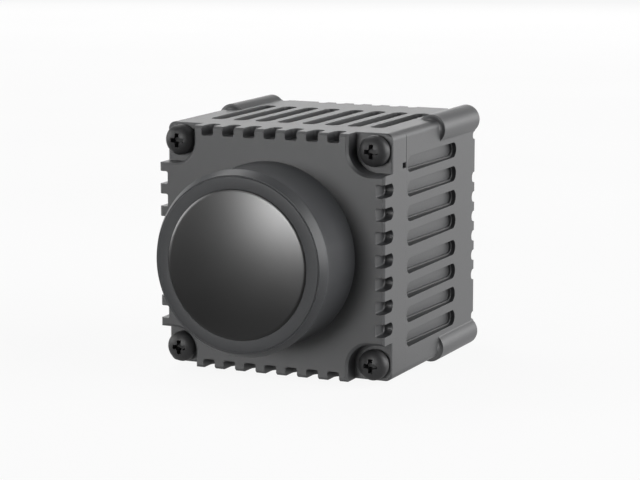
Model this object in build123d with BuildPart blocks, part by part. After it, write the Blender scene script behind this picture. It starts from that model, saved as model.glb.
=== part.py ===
"""Automotive thermal camera: square cast body, large germanium window, shutter and board stack.

Millimetres, +Z up. The lens looks along -Y. The origin lies under the middle of the camera,
level with the underside of the lower rear bosses.
"""

from build123d import *
from math import atan2, cos, degrees, hypot, radians, sin
import os

os.makedirs("parts", exist_ok=True)

# Body
body_width = 44.9
body_edge_radius = 1.3
cover_depth = 9.8
housing_depth = 34.6
running_gap = 0.05
seat_gap = 0.1

# Front plate with its notched edges and cut-away corners
plate_thickness = 5.2
plate_edge_chamfer = 0.45
notch_count = 7
notch_pitch = 4.18
notch_width = 2.34
notch_length = 4.05
notch_depth = 1.7
notch_corner_radius = 0.35
recess_width = 7.15
recess_depth = 3.65
recess_arc_radius = 4.3
pad_edge_chamfer = 0.25
cover_wall = 4.5
cover_corner_cut = 4.0
pry_notch_width = 1.0
pry_notch_length = 1.6
pry_notch_inset = 6.25
pry_notch_depth = 0.7
joint_groove_size = 0.15

# Front screws, with their spring washers
screw_inset = 3.1
screw_radius = 1.5
screw_clearance = 0.2
hole_end_gap = 1.0
screw_length = 12.0
screw_head_radius = 2.8
screw_head_rim = 0.8
screw_head_height = 2.2
cross_length = 2.7
cross_width = 0.6
cross_core = 1.0
cross_depth = 1.2
cross_taper = 12.0
washer_radius = 2.6
washer_thickness = 0.6
washer_slit = 0.5

# Slots in the four sides of the housing
slots_in_group = 4
slot_pitch = 4.51
slot_middle_pitch = 5.07
slot_width = 2.85
slot_length = 23.85
slot_setback = 0.63
slot_front_depth = 1.9
slot_rear_depth = 0.8
slot_ledge_width = 0.25
slot_floor_step = 0.45

# Bosses at the rear corners, tapped for mounting screws
boss_radius = 2.75
boss_inset = 1.8
boss_length = 18.2
boss_nose_length = 1.2
boss_nose_radius = 1.6
boss_blend_radius = 0.5
mount_hole_radius = 1.25
mount_hole_depth = 12.0

# Notches in the rear rim
rim_notch_count = 6
rim_notch_pitch = 3.8
rim_notch_width = 2.1
rim_notch_length = 1.7
rim_relief_place = 17.6
rim_relief_width = 1.5
rim_edge_chamfer = 0.4

# Inside of the housing
housing_wall = 3.8
housing_corner_cut = 3.0
pillar_corner_cut = 5.0
pillar_length = 5.6
front_gasket_width = 1.1
front_gasket_thickness = 0.6
front_gasket_inset = 0.3

# Rear cover
rear_pocket_border = 2.8
rear_pocket_radius = 2.0
rear_cover_recess = 0.4
rear_cover_thickness = 2.0
rear_cover_chamfer = 0.3
rear_gasket_thickness = 0.6
rear_screw_inset = 2.2
rear_screw_radius = 1.0
rear_screw_head_radius = 1.9
rear_screw_length = 7.0
rear_screw_sink = 0.1
hex_key_size = 1.3
hex_key_depth = 0.7

# Rear connector
connector_pad_radius = 9.5
connector_pad_height = 1.0
connector_thread_radius = 6.0
connector_flange_size = 16.0
connector_flange_thickness = 2.0
connector_nipple_length = 8.8
connector_edge_chamfer = 0.4
connector_bore_radius = 4.3
connector_bore_depth = 8.0
connector_inner_length = 6.0
connector_seal_inner_radius = 6.5
connector_seal_width = 1.0
connector_seal_depth = 0.8
nut_size = 15.0
nut_thickness = 2.5
insert_radius = 4.9
insert_tail = 0.6
pin_count = 4
pin_radius = 0.5
pin_circle_radius = 2.6
pin_reach = 3.0
pin_tail = 2.6
key_width = 1.0
key_height = 0.6

# Lens barrel
ring_projection = 13.5
rim_setback = 0.15
barrel_rim_radius = 16.85
barrel_waist_radius = 16.35
barrel_base_radius = 16.8
rim_chamfer_width = 0.85
rim_chamfer_length = 1.65
rim_land = 0.3
barrel_bore_radius = 12.9
spigot_radius = 14.4
spigot_length = 4.5
spigot_lip_radius = 12.0
spigot_lip_thickness = 0.6
barrel_seal_radius = 15.6
barrel_seal_width = 1.0
barrel_seal_depth = 0.8

# Window and its ring
window_proud = 0.25
window_radius = 13.2
window_bevel = 0.2
window_sag = 0.7
window_flange_radius = 14.8
window_flange_thickness = 1.4
window_seal_thickness = 0.8
ring_outer_radius = 15.75
ring_thickness = 1.1
ring_bevel = 0.15

# Lens cell and lenses
lock_ring_setback = 0.1
lock_ring_length = 1.5
lock_ring_opening = 10.4
objective_radius = 11.2
objective_edge = 3.8
objective_front_sag = 1.2
objective_rear_sag = 0.9
seat_width = 1.0
lens_air_gap = 5.0
rear_lens_radius = 8.6
rear_lens_edge = 2.4
rear_lens_front_sag = 0.8
rear_lens_rear_sag = 0.6
lens_spacer_length = 1.4
field_lens_edge = 1.6
field_lens_front_sag = 0.5
field_lens_rear_sag = 0.3
rear_lock_length = 1.2
cell_lip = 0.2

# Shutter
blade_clearance = 1.1
blade_hub_length = 0.7
blade_thickness = 0.3
blade_gap = 0.3
blade_radius = 5.8
blade_arm_width = 3.2
blade_hub_radius = 2.2
blade_swing = 43.0
pivot_x = 14.0
pivot_drop = 6.0
shaft_radius = 0.75
shaft_depth = 5.0
motor_radius = 3.8
motor_length = 6.0
motor_edge_chamfer = 0.3
motor_end_gap = 0.5

# Sensor holder and detector
holder_margin = 0.7
holder_thickness = 2.4
holder_corner_cut = 3.2
aperture_corner_radius = 1.0
holder_aperture = 8.8
post_place = 13.8
post_radius = 1.8
package_width = 17.0
package_thickness = 2.6
package_pocket_depth = 1.0
detector_window_width = 8.0
detector_window_thickness = 0.8

# Boards and what stands on them
board_thickness = 1.2
board_margin = 1.2
board_corner_cut = 1.6
board_screw_radius = 1.0
stud_grip = 2.5
spacer_grip = 4.0
rear_spacer_length = 9.0
spacer_size = 3.6
board_screw_head_radius = 1.8
board_screw_head_height = 1.4
processor_width = 13.0
processor_height = 1.4
thermal_pad_thickness = 1.0
memory_width = 11.0
memory_length = 9.0
memory_height = 1.1
memory_place = 7.0
memory_spread = 13.0
spreader_width = 22.0
spreader_thickness = 1.8
spreader_flange_thickness = 1.4
spreader_flange_length = 4.2
board_link_length = 18.0
board_link_width = 3.2
board_link_edge = 2.6
socket_width = 9.0
socket_height = 4.5
socket_gap = 0.3
inductor_width = 6.0
inductor_height = 3.0
inductor_place = 11.0

# Places that follow from the sizes above
body_half = body_width / 2
screw_place = body_half - screw_inset
boss_place = body_half - boss_inset
boss_reach = boss_place + boss_radius
axis_z = boss_reach
rear_cover_face = cover_depth + housing_depth - rear_cover_recess
flange_seat = rear_cover_face + connector_pad_height
nipple_seat = flange_seat + connector_flange_thickness
nipple_end = nipple_seat + connector_nipple_length
window_projection = ring_projection + window_proud + window_sag
overall_length = window_projection + nipple_end
plate_y = window_projection - overall_length / 2
pad_y = plate_y + recess_depth
cavity_y = plate_y + plate_thickness
joint_y = plate_y + cover_depth
rear_y = joint_y + housing_depth
rear_cover_y = plate_y + rear_cover_face
rear_cover_back_y = rear_cover_y - rear_cover_thickness
flange_y = plate_y + flange_seat
nipple_end_y = plate_y + nipple_end
insert_seat_y = nipple_end_y - connector_bore_depth
shell_end_y = flange_y - connector_inner_length
insert_end_y = shell_end_y - insert_tail
ledge_y = rear_cover_back_y - rear_gasket_thickness
pillar_y = ledge_y - pillar_length
cover_cavity_width = body_width - 2 * cover_wall
housing_cavity_width = body_width - 2 * housing_wall
rear_pocket_width = body_width - 2 * rear_pocket_border
rear_screw_place = rear_pocket_width / 2 - rear_screw_inset

ring_face_y = plate_y - ring_projection
window_rim_y = ring_face_y - window_proud
rim_face_y = ring_face_y + rim_setback
ring_back_y = ring_face_y + ring_thickness
window_back_y = ring_back_y + window_flange_thickness
shoulder_y = window_back_y + window_seal_thickness
lock_ring_y = shoulder_y + lock_ring_setback
cell_y = lock_ring_y + lock_ring_length
objective_seat_y = cell_y + objective_edge
rear_seat_y = objective_seat_y + lens_air_gap
spacer_y = rear_seat_y + rear_lens_edge
field_lens_y = spacer_y + lens_spacer_length
rear_lock_y = field_lens_y + field_lens_edge
cell_end_y = rear_lock_y + rear_lock_length + cell_lip
spigot_end_y = plate_y + spigot_length
lip_y = spigot_end_y - spigot_lip_thickness

hub_y = cell_end_y + blade_clearance
blade_y = hub_y + blade_hub_length
holder_y = blade_y + blade_thickness + blade_gap
holder_back_y = holder_y + holder_thickness
package_y = holder_back_y - package_pocket_depth
detector_board_y = package_y + package_thickness
front_spacer_y = detector_board_y + board_thickness
board_screw_y = insert_end_y - socket_gap - socket_height
interface_board_y = board_screw_y - board_thickness
rear_spacer_y = interface_board_y - rear_spacer_length
processor_board_y = rear_spacer_y - board_thickness
front_spacer_length = processor_board_y - front_spacer_y
holder_width = cover_cavity_width - 2 * holder_margin
board_width = housing_cavity_width - 2 * board_margin
pad_front_y = rear_spacer_y + processor_height
spreader_y = pad_front_y + thermal_pad_thickness
board_link_place = board_width / 2 - board_link_edge
slot_y = joint_y + slot_setback
boss_y = rear_y - boss_length
pivot_distance = hypot(pivot_x, pivot_drop)
closed_angle = degrees(atan2(pivot_drop, -pivot_x))
parked_angle = closed_angle + blade_swing
parked_x = pivot_x + pivot_distance * cos(radians(parked_angle))
parked_z = -pivot_drop + pivot_distance * sin(radians(parked_angle))

lens_axis = Axis((0, 0, axis_z), (0, 1, 0))
lens_section = Plane(origin=(0, 0, axis_z), x_dir=(0, 1, 0), z_dir=(1, 0, 0))


def facing_front(y):
    """Plane square to the lens axis at y: its own X is +X, its Y is +Z and it looks along -Y."""
    return Plane(origin=(0, y, axis_z), x_dir=(1, 0, 0), z_dir=(0, -1, 0))


def facing_rear(y):
    """The same plane looking along +Y, for what is put in from behind."""
    return Plane(origin=(0, y, axis_z), x_dir=(-1, 0, 0), z_dir=(0, 1, 0))


def turned(*corners):
    """Section of a turned piece, from corners given as (y, radius)."""
    with BuildSketch(lens_section) as section:
        with BuildLine():
            Polyline(*corners, close=True)
        make_face()
    return section.sketch


def lens_shape(front_y, edge, radius, front_sag, rear_sag):
    """Section of a meniscus lens with a flat seat at its rim on both sides."""
    land = radius - seat_width
    back_y = front_y + edge
    with BuildSketch(lens_section) as section:
        with BuildLine():
            TangentArc((front_y - front_sag, 0), (front_y, land), tangent=(0, 1))
            Polyline((front_y, land), (front_y, radius), (back_y, radius), (back_y, land))
            TangentArc((back_y - rear_sag, 0), (back_y, land), tangent=(0, 1))
            Line((back_y - rear_sag, 0), (front_y - front_sag, 0))
        make_face()
    return section.sketch


def cut_corner_square(plane, width, corner_cut):
    """Square outline with its four corners cut off."""
    with BuildSketch(plane) as outline:
        Rectangle(width, width)
        chamfer(outline.vertices(), corner_cut)
    return outline.sketch


def grown_square(plane, width, corner_cut, growth):
    """The same outline moved outwards all round by growth."""
    with BuildSketch(plane) as outline:
        Rectangle(width, width)
        chamfer(outline.vertices(), corner_cut)
        offset(amount=growth, kind=Kind.INTERSECTION)
    return outline.sketch


def quarter_turns(piece):
    """The piece at each of the body's four sides."""
    return [piece.part.rotate(lens_axis, 90 * turn) for turn in range(4)]


def save(piece, name):
    """Names a finished piece and writes it."""
    piece.part.label = name
    export_step(piece.part, f"parts/{name}.step")


# Cutter for the seven notches in the plate's upper edge, round at their rear ends
notch_end_y = plate_y + notch_length - notch_width / 2
with BuildPart() as plate_notches:
    with BuildSketch(Plane.XY.offset(axis_z + body_half)):
        with Locations((0, notch_end_y)):
            with GridLocations(notch_pitch, 0, notch_count, 1):
                Circle(notch_width / 2)
        with Locations((0, (plate_y + notch_end_y) / 2)):
            with GridLocations(notch_pitch, 0, notch_count, 1):
                Rectangle(notch_width, notch_end_y - plate_y)
    extrude(amount=-notch_depth)
    floor_edges = plate_notches.faces().group_by(Axis.Z)[0].edges()
    fillet(floor_edges.filter_by(Axis.Y), notch_corner_radius)

with BuildPart() as front_cover:
    with BuildSketch(facing_front(pad_y)):
        RectangleRounded(body_width, body_width, body_edge_radius)
    extrude(amount=recess_depth - cover_depth)
    chamfer(front_cover.faces().sort_by(Axis.Y)[0].edges(), pad_edge_chamfer)
    with BuildSketch(facing_front(plate_y)):
        RectangleRounded(body_width, body_width, body_edge_radius)
        with GridLocations(body_width, body_width, 2, 2):
            RectangleRounded(2 * recess_width, 2 * recess_width, recess_arc_radius, mode=Mode.SUBTRACT)
    extrude(amount=-recess_depth - pad_edge_chamfer)
    chamfer(front_cover.faces().sort_by(Axis.Y)[0].edges(), plate_edge_chamfer)
    for notches in quarter_turns(plate_notches):
        add(notches, mode=Mode.SUBTRACT)
    with BuildSketch(facing_rear(plate_y)):
        Circle(spigot_radius + running_gap)
    extrude(amount=cover_depth, mode=Mode.SUBTRACT)
    cavity = cut_corner_square(facing_rear(cavity_y), cover_cavity_width, cover_corner_cut)
    extrude(cavity, amount=joint_y - cavity_y, mode=Mode.SUBTRACT)
    with BuildSketch(facing_rear(pad_y)):
        with GridLocations(2 * screw_place, 2 * screw_place, 2, 2):
            Circle(screw_radius + screw_clearance)
    extrude(amount=joint_y - pad_y, mode=Mode.SUBTRACT)
    with BuildSketch(facing_rear(cavity_y - stud_grip - seat_gap)):
        with GridLocations(2 * post_place, 2 * post_place, 2, 2):
            Circle(board_screw_radius + running_gap)
    extrude(amount=stud_grip + seat_gap, mode=Mode.SUBTRACT)
    groove_y = joint_y - front_gasket_thickness
    groove_end = facing_rear(groove_y)
    groove_reach = front_gasket_inset + front_gasket_width
    groove = grown_square(groove_end, housing_cavity_width, housing_corner_cut, groove_reach)
    groove -= grown_square(groove_end, housing_cavity_width, housing_corner_cut, front_gasket_inset)
    extrude(groove, amount=front_gasket_thickness, mode=Mode.SUBTRACT)
    with Locations((body_half, joint_y, axis_z + body_half - pry_notch_inset)):
        Box(2 * pry_notch_depth, 2 * pry_notch_length, pry_notch_width, mode=Mode.SUBTRACT)
save(front_cover, "front_cover")

with BuildPart() as front_gasket:
    extrude(groove, amount=front_gasket_thickness)
save(front_gasket, "front_gasket")

# Cutters for the eight slots in the upper side: a slot whose bottom rises to the rear, and a
# narrower one that leaves a ledge round the floor
slot_top = Plane.XY.offset(axis_z + body_half)
slot_bottom = Plane(
    origin=(0, slot_y, axis_z + body_half - slot_front_depth),
    x_dir=(1, 0, 0),
    z_dir=(0, slot_rear_depth - slot_front_depth, slot_length),
)
slot_places = []
for row in range(slots_in_group):
    slot_x = slot_middle_pitch / 2 + row * slot_pitch
    slot_places += [(slot_x, slot_y + slot_length / 2), (-slot_x, slot_y + slot_length / 2)]

with BuildPart() as slot_cutters:
    with BuildSketch(slot_top):
        with Locations(slot_places):
            SlotOverall(slot_length, slot_width, rotation=90)
    extrude(amount=-slot_front_depth)
    split(bisect_by=slot_bottom, keep=Keep.TOP)

with BuildPart() as slot_floor_cutters:
    with BuildSketch(slot_top):
        with Locations(slot_places):
            SlotOverall(slot_length - 2 * slot_ledge_width, slot_width - 2 * slot_ledge_width, rotation=90)
    extrude(amount=-slot_front_depth - slot_floor_step)
    split(bisect_by=slot_bottom.offset(-slot_floor_step), keep=Keep.TOP)

# Cutter for the notches in the rear rim, round at their front ends
rim_notch_y = rear_y - rim_notch_length + rim_notch_width / 2
with BuildPart() as rim_notches:
    with BuildSketch(slot_top):
        with Locations((0, rim_notch_y)):
            with GridLocations(rim_notch_pitch, 0, rim_notch_count, 1):
                Circle(rim_notch_width / 2)
            with GridLocations(2 * rim_relief_place, 0, 2, 1):
                Circle(rim_relief_width / 2)
        with Locations((0, (rim_notch_y + rear_y) / 2)):
            with GridLocations(rim_notch_pitch, 0, rim_notch_count, 1):
                Rectangle(rim_notch_width, rear_y - rim_notch_y)
            with GridLocations(2 * rim_relief_place, 0, 2, 1):
                Rectangle(rim_relief_width, rear_y - rim_notch_y)
    extrude(amount=-notch_depth)

# Nose of a boss, flaring out of the housing's side; drawn from the origin along +Z
with BuildPart() as boss_nose:
    with BuildSketch(Plane.XZ):
        with BuildLine():
            flare = boss_radius - boss_nose_radius
            ThreePointArc(
                (boss_nose_radius, 0),
                (boss_nose_radius + 0.32 * flare, 0.68 * boss_nose_length),
                (boss_radius, boss_nose_length),
            )
            Polyline((boss_radius, boss_nose_length), (0, boss_nose_length), (0, 0), (boss_nose_radius, 0))
        make_face()
    revolve(axis=Axis.Z)

with BuildPart() as main_housing:
    with BuildSketch(facing_rear(joint_y)):
        RectangleRounded(body_width, body_width, body_edge_radius)
    extrude(amount=housing_depth)
    with BuildSketch(facing_rear(boss_y)) as boss_outline:
        RectangleRounded(body_width, body_width, body_edge_radius)
        with GridLocations(2 * boss_place, 2 * boss_place, 2, 2):
            Circle(boss_radius)
        blend_corners = boss_outline.vertices().filter_by(
            lambda v: abs(max(abs(v.X), abs(v.Y)) - body_half) < running_gap
        )
        fillet(blend_corners, boss_blend_radius)
    extrude(amount=boss_length)
    with Locations(facing_rear(boss_y - boss_nose_length)):
        with GridLocations(2 * boss_place, 2 * boss_place, 2, 2):
            add(boss_nose.part)
    chamfer(main_housing.faces().sort_by(Axis.Y)[-1].edges(), rim_edge_chamfer)
    for slots in quarter_turns(slot_cutters) + quarter_turns(slot_floor_cutters):
        add(slots, mode=Mode.SUBTRACT)
    for notches in quarter_turns(rim_notches):
        add(notches, mode=Mode.SUBTRACT)
    cavity = cut_corner_square(facing_rear(joint_y), housing_cavity_width, housing_corner_cut)
    extrude(cavity, amount=pillar_y - joint_y, mode=Mode.SUBTRACT)
    pillared_cavity = cut_corner_square(facing_rear(pillar_y), housing_cavity_width, pillar_corner_cut)
    extrude(pillared_cavity, amount=pillar_length, mode=Mode.SUBTRACT)
    with BuildSketch(facing_rear(ledge_y)):
        RectangleRounded(rear_pocket_width, rear_pocket_width, rear_pocket_radius)
    extrude(amount=rear_y - ledge_y, mode=Mode.SUBTRACT)
    front_screw_grip = screw_length - washer_thickness - (joint_y - pad_y)
    with BuildSketch(facing_rear(joint_y)):
        with GridLocations(2 * screw_place, 2 * screw_place, 2, 2):
            Circle(screw_radius + running_gap)
    extrude(amount=front_screw_grip + hole_end_gap, mode=Mode.SUBTRACT)
    with BuildSketch(facing_front(rear_y)):
        with GridLocations(2 * boss_place, 2 * boss_place, 2, 2):
            Circle(mount_hole_radius)
    extrude(amount=mount_hole_depth, mode=Mode.SUBTRACT)
    with BuildSketch(facing_front(ledge_y)):
        with GridLocations(2 * rear_screw_place, 2 * rear_screw_place, 2, 2):
            Circle(rear_screw_radius + running_gap)
    extrude(amount=pillar_length, mode=Mode.SUBTRACT)
    with Locations((body_half, joint_y, axis_z + body_half)):
        Box(
            2 * joint_groove_size,
            2 * joint_groove_size,
            2 * recess_width,
            mode=Mode.SUBTRACT,
        )
save(main_housing, "main_housing")

with BuildPart() as rear_gasket:
    with BuildSketch(facing_rear(ledge_y)):
        RectangleRounded(
            rear_pocket_width - 2 * seat_gap, rear_pocket_width - 2 * seat_gap, rear_pocket_radius - seat_gap
        )
        with GridLocations(2 * rear_screw_place, 2 * rear_screw_place, 2, 2):
            Circle(rear_screw_radius + seat_gap, mode=Mode.SUBTRACT)
    extrude(amount=rear_gasket_thickness)
    opening = grown_square(facing_rear(ledge_y), housing_cavity_width, pillar_corner_cut, seat_gap)
    extrude(opening, amount=rear_gasket_thickness, mode=Mode.SUBTRACT)
save(rear_gasket, "rear_gasket")

with BuildPart() as rear_cover:
    with BuildSketch(facing_rear(rear_cover_back_y)):
        RectangleRounded(
            rear_pocket_width - 2 * seat_gap, rear_pocket_width - 2 * seat_gap, rear_pocket_radius - seat_gap
        )
    extrude(amount=rear_cover_thickness)
    chamfer(rear_cover.faces().sort_by(Axis.Y)[-1].edges(), rear_cover_chamfer)
    with BuildSketch(facing_rear(rear_cover_y)):
        Circle(connector_pad_radius)
    extrude(amount=connector_pad_height)
    with BuildSketch(facing_rear(rear_cover_back_y)):
        Circle(connector_thread_radius + running_gap)
    extrude(amount=rear_cover_thickness + connector_pad_height, mode=Mode.SUBTRACT)
    with Locations(facing_rear(rear_cover_y)):
        with GridLocations(2 * rear_screw_place, 2 * rear_screw_place, 2, 2):
            CounterSinkHole(
                rear_screw_radius + seat_gap, rear_screw_head_radius + seat_gap, rear_cover_thickness
            )
save(rear_cover, "rear_cover")

# Front screws: domed heads with a cross recess, drawn with the shank along -Z
with BuildPart() as pan_screw:
    with BuildSketch(Plane.XZ):
        with BuildLine():
            Polyline(
                (0, screw_head_height),
                (0, -screw_length),
                (screw_radius, -screw_length),
                (screw_radius, 0),
                (screw_head_radius, 0),
                (screw_head_radius, screw_head_rim),
            )
            TangentArc((0, screw_head_height), (screw_head_radius, screw_head_rim), tangent=(1, 0))
        make_face()
    revolve(axis=Axis.Z)
    with BuildSketch(Plane.XY.offset(screw_head_height)):
        Rectangle(cross_length, cross_width)
        Rectangle(cross_width, cross_length)
    extrude(amount=-cross_depth, taper=cross_taper, mode=Mode.SUBTRACT)
    with BuildSketch(Plane.XY.offset(screw_head_height)):
        Rectangle(cross_core, cross_core, rotation=45)
    extrude(amount=-cross_depth, taper=cross_taper, mode=Mode.SUBTRACT)

with BuildPart(facing_front(pad_y - washer_thickness)) as front_screws:
    with GridLocations(2 * screw_place, 2 * screw_place, 2, 2):
        add(pan_screw.part)
save(front_screws, "front_screws")

with BuildPart() as front_washers:
    with BuildSketch(facing_front(pad_y)):
        with GridLocations(2 * screw_place, 2 * screw_place, 2, 2):
            Circle(washer_radius)
            Circle(screw_radius + running_gap, mode=Mode.SUBTRACT)
            Rectangle(washer_slit, washer_radius, align=(Align.CENTER, Align.MIN), mode=Mode.SUBTRACT)
    extrude(amount=washer_thickness)
save(front_washers, "front_washers")

# Rear screws: flat heads with a hexagon socket
with BuildPart() as flat_screw:
    with BuildSketch(Plane.XZ):
        with BuildLine():
            Polyline(
                (0, 0),
                (0, -rear_screw_length),
                (rear_screw_radius, -rear_screw_length),
                (rear_screw_radius, rear_screw_radius - rear_screw_head_radius),
                (rear_screw_head_radius, 0),
                close=True,
            )
        make_face()
    revolve(axis=Axis.Z)
    with BuildSketch():
        RegularPolygon(hex_key_size / 2, 6, major_radius=False)
    extrude(amount=-hex_key_depth, mode=Mode.SUBTRACT)

with BuildPart(facing_rear(rear_cover_y - rear_screw_sink)) as rear_screws:
    with GridLocations(2 * rear_screw_place, 2 * rear_screw_place, 2, 2):
        add(flat_screw.part)
save(rear_screws, "rear_screws")

# Rear connector
with BuildPart() as connector_shell:
    revolve(
        turned(
            (shell_end_y, insert_radius + running_gap),
            (insert_seat_y, insert_radius + running_gap),
            (insert_seat_y, connector_bore_radius),
            (nipple_end_y, connector_bore_radius),
            (nipple_end_y, connector_thread_radius),
            (shell_end_y, connector_thread_radius),
        ),
        axis=lens_axis,
    )
    chamfer(connector_shell.edges().sort_by(Axis.Y)[-2:], connector_edge_chamfer)
    with BuildSketch(facing_rear(flange_y)):
        RegularPolygon(connector_flange_size / 2, 6, major_radius=False)
        Circle(connector_thread_radius - running_gap, mode=Mode.SUBTRACT)
    extrude(amount=connector_flange_thickness)
    with BuildSketch(facing_rear(flange_y)):
        Circle(connector_seal_inner_radius + connector_seal_width)
        Circle(connector_seal_inner_radius, mode=Mode.SUBTRACT)
    extrude(amount=connector_seal_depth, mode=Mode.SUBTRACT)
    with Locations((0, insert_seat_y + connector_bore_depth / 2, axis_z + connector_bore_radius)):
        Box(key_width, connector_bore_depth, 2 * key_height)
save(connector_shell, "connector_shell")

with BuildPart() as connector_seal:
    with BuildSketch(facing_rear(flange_y)):
        Circle(connector_seal_inner_radius + connector_seal_width)
        Circle(connector_seal_inner_radius, mode=Mode.SUBTRACT)
    extrude(amount=connector_seal_depth)
save(connector_seal, "connector_seal")

with BuildPart() as connector_nut:
    with BuildSketch(facing_front(rear_cover_back_y)):
        RegularPolygon(nut_size / 2, 6, major_radius=False)
        Circle(connector_thread_radius + running_gap, mode=Mode.SUBTRACT)
    extrude(amount=nut_thickness)
save(connector_nut, "connector_nut")

with BuildPart() as connector_insert:
    with BuildSketch(facing_rear(insert_end_y)):
        Circle(insert_radius)
        with PolarLocations(pin_circle_radius, pin_count):
            Circle(pin_radius + running_gap, mode=Mode.SUBTRACT)
    extrude(amount=insert_seat_y - insert_end_y)
save(connector_insert, "connector_insert")

with BuildPart() as connector_pins:
    with BuildSketch(facing_rear(insert_end_y - pin_tail)):
        with PolarLocations(pin_circle_radius, pin_count):
            Circle(pin_radius)
    extrude(amount=insert_seat_y + pin_reach - insert_end_y + pin_tail)
save(connector_pins, "connector_pins")

# Lens barrel: chamfered rim, waisted side, spigot screwed into the front cover
with BuildPart() as lens_barrel:
    rim_corner_y = rim_face_y + rim_chamfer_length
    waist_y = (rim_corner_y + rim_land + plate_y) / 2
    with BuildSketch(lens_section):
        with BuildLine():
            Polyline(
                (rim_face_y, ring_outer_radius + running_gap),
                (rim_face_y, barrel_rim_radius - rim_chamfer_width),
                (rim_corner_y, barrel_rim_radius),
                (rim_corner_y + rim_land, barrel_rim_radius),
            )
            ThreePointArc(
                (rim_corner_y + rim_land, barrel_rim_radius),
                (waist_y, barrel_waist_radius),
                (plate_y, barrel_base_radius),
            )
            Polyline(
                (plate_y, barrel_base_radius),
                (plate_y, spigot_radius),
                (spigot_end_y, spigot_radius),
                (spigot_end_y, spigot_lip_radius),
                (lip_y, spigot_lip_radius),
                (lip_y, barrel_bore_radius),
                (shoulder_y, barrel_bore_radius),
                (shoulder_y, ring_outer_radius + running_gap),
                (rim_face_y, ring_outer_radius + running_gap),
            )
        make_face()
    revolve(axis=lens_axis)
    seal_section = turned(
        (plate_y - barrel_seal_depth, barrel_seal_radius - barrel_seal_width / 2),
        (plate_y - barrel_seal_depth, barrel_seal_radius + barrel_seal_width / 2),
        (plate_y, barrel_seal_radius + barrel_seal_width / 2),
        (plate_y, barrel_seal_radius - barrel_seal_width / 2),
    )
    revolve(seal_section, axis=lens_axis, mode=Mode.SUBTRACT)
save(lens_barrel, "lens_barrel")

with BuildPart() as barrel_seal:
    revolve(seal_section, axis=lens_axis)
save(barrel_seal, "barrel_seal")

# Window: gently domed, bevelled at its edge, with a flange held under the ring
with BuildPart() as window:
    with BuildSketch(lens_section):
        with BuildLine():
            TangentArc(
                (window_rim_y - window_sag, 0), (window_rim_y, window_radius - window_bevel), tangent=(0, 1)
            )
            Polyline(
                (window_rim_y, window_radius - window_bevel),
                (window_rim_y + window_bevel, window_radius),
                (ring_back_y, window_radius),
                (ring_back_y, window_flange_radius),
                (window_back_y, window_flange_radius),
                (window_back_y, 0),
                (window_rim_y - window_sag, 0),
            )
        make_face()
    revolve(axis=lens_axis)
save(window, "window")

with BuildPart() as window_ring:
    ring_inner_radius = window_radius + running_gap
    revolve(
        turned(
            (ring_face_y + ring_bevel, ring_inner_radius),
            (ring_face_y, ring_inner_radius + ring_bevel),
            (ring_face_y, ring_outer_radius - ring_bevel),
            (ring_face_y + ring_bevel, ring_outer_radius),
            (window_back_y, ring_outer_radius),
            (window_back_y, window_flange_radius + running_gap),
            (ring_back_y, window_flange_radius + running_gap),
            (ring_back_y, ring_inner_radius),
        ),
        axis=lens_axis,
    )
save(window_ring, "window_ring")

with BuildPart() as window_seal:
    revolve(
        turned(
            (window_back_y, barrel_bore_radius + seat_gap),
            (window_back_y, window_flange_radius),
            (shoulder_y, window_flange_radius),
            (shoulder_y, barrel_bore_radius + seat_gap),
        ),
        axis=lens_axis,
    )
save(window_seal, "window_seal")

# Lens cell with its three lenses
with BuildPart() as lens_cell:
    revolve(
        turned(
            (cell_y, objective_radius + running_gap),
            (cell_y, barrel_bore_radius - running_gap),
            (lip_y, barrel_bore_radius - running_gap),
            (lip_y, spigot_lip_radius - running_gap),
            (cell_end_y, spigot_lip_radius - running_gap),
            (cell_end_y, rear_lens_radius + running_gap),
            (rear_seat_y, rear_lens_radius + running_gap),
            (rear_seat_y, rear_lens_radius - seat_width),
            (objective_seat_y, objective_radius - seat_width),
            (objective_seat_y, objective_radius + running_gap),
        ),
        axis=lens_axis,
    )
save(lens_cell, "lens_cell")

with BuildPart() as lens_lock_ring:
    revolve(
        turned(
            (lock_ring_y, lock_ring_opening),
            (lock_ring_y, barrel_bore_radius - running_gap),
            (cell_y, barrel_bore_radius - running_gap),
            (cell_y, lock_ring_opening),
        ),
        axis=lens_axis,
    )
save(lens_lock_ring, "lens_lock_ring")

with BuildPart() as objective_lens:
    revolve(
        lens_shape(cell_y, objective_edge, objective_radius, objective_front_sag, objective_rear_sag),
        axis=lens_axis,
    )
save(objective_lens, "objective_lens")

with BuildPart() as rear_lens:
    revolve(
        lens_shape(rear_seat_y, rear_lens_edge, rear_lens_radius, rear_lens_front_sag, rear_lens_rear_sag),
        axis=lens_axis,
    )
save(rear_lens, "rear_lens")

with BuildPart() as lens_spacer:
    revolve(
        turned(
            (spacer_y, rear_lens_radius - seat_width),
            (spacer_y, rear_lens_radius),
            (field_lens_y, rear_lens_radius),
            (field_lens_y, rear_lens_radius - seat_width),
        ),
        axis=lens_axis,
    )
save(lens_spacer, "lens_spacer")

with BuildPart() as field_lens:
    revolve(
        lens_shape(
            field_lens_y, field_lens_edge, rear_lens_radius, field_lens_front_sag, field_lens_rear_sag
        ),
        axis=lens_axis,
    )
save(field_lens, "field_lens")

with BuildPart() as rear_lock_ring:
    revolve(
        turned(
            (rear_lock_y, rear_lens_radius - seat_width),
            (rear_lock_y, rear_lens_radius),
            (rear_lock_y + rear_lock_length, rear_lens_radius),
            (rear_lock_y + rear_lock_length, rear_lens_radius - seat_width),
        ),
        axis=lens_axis,
    )
save(rear_lock_ring, "rear_lock_ring")

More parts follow.
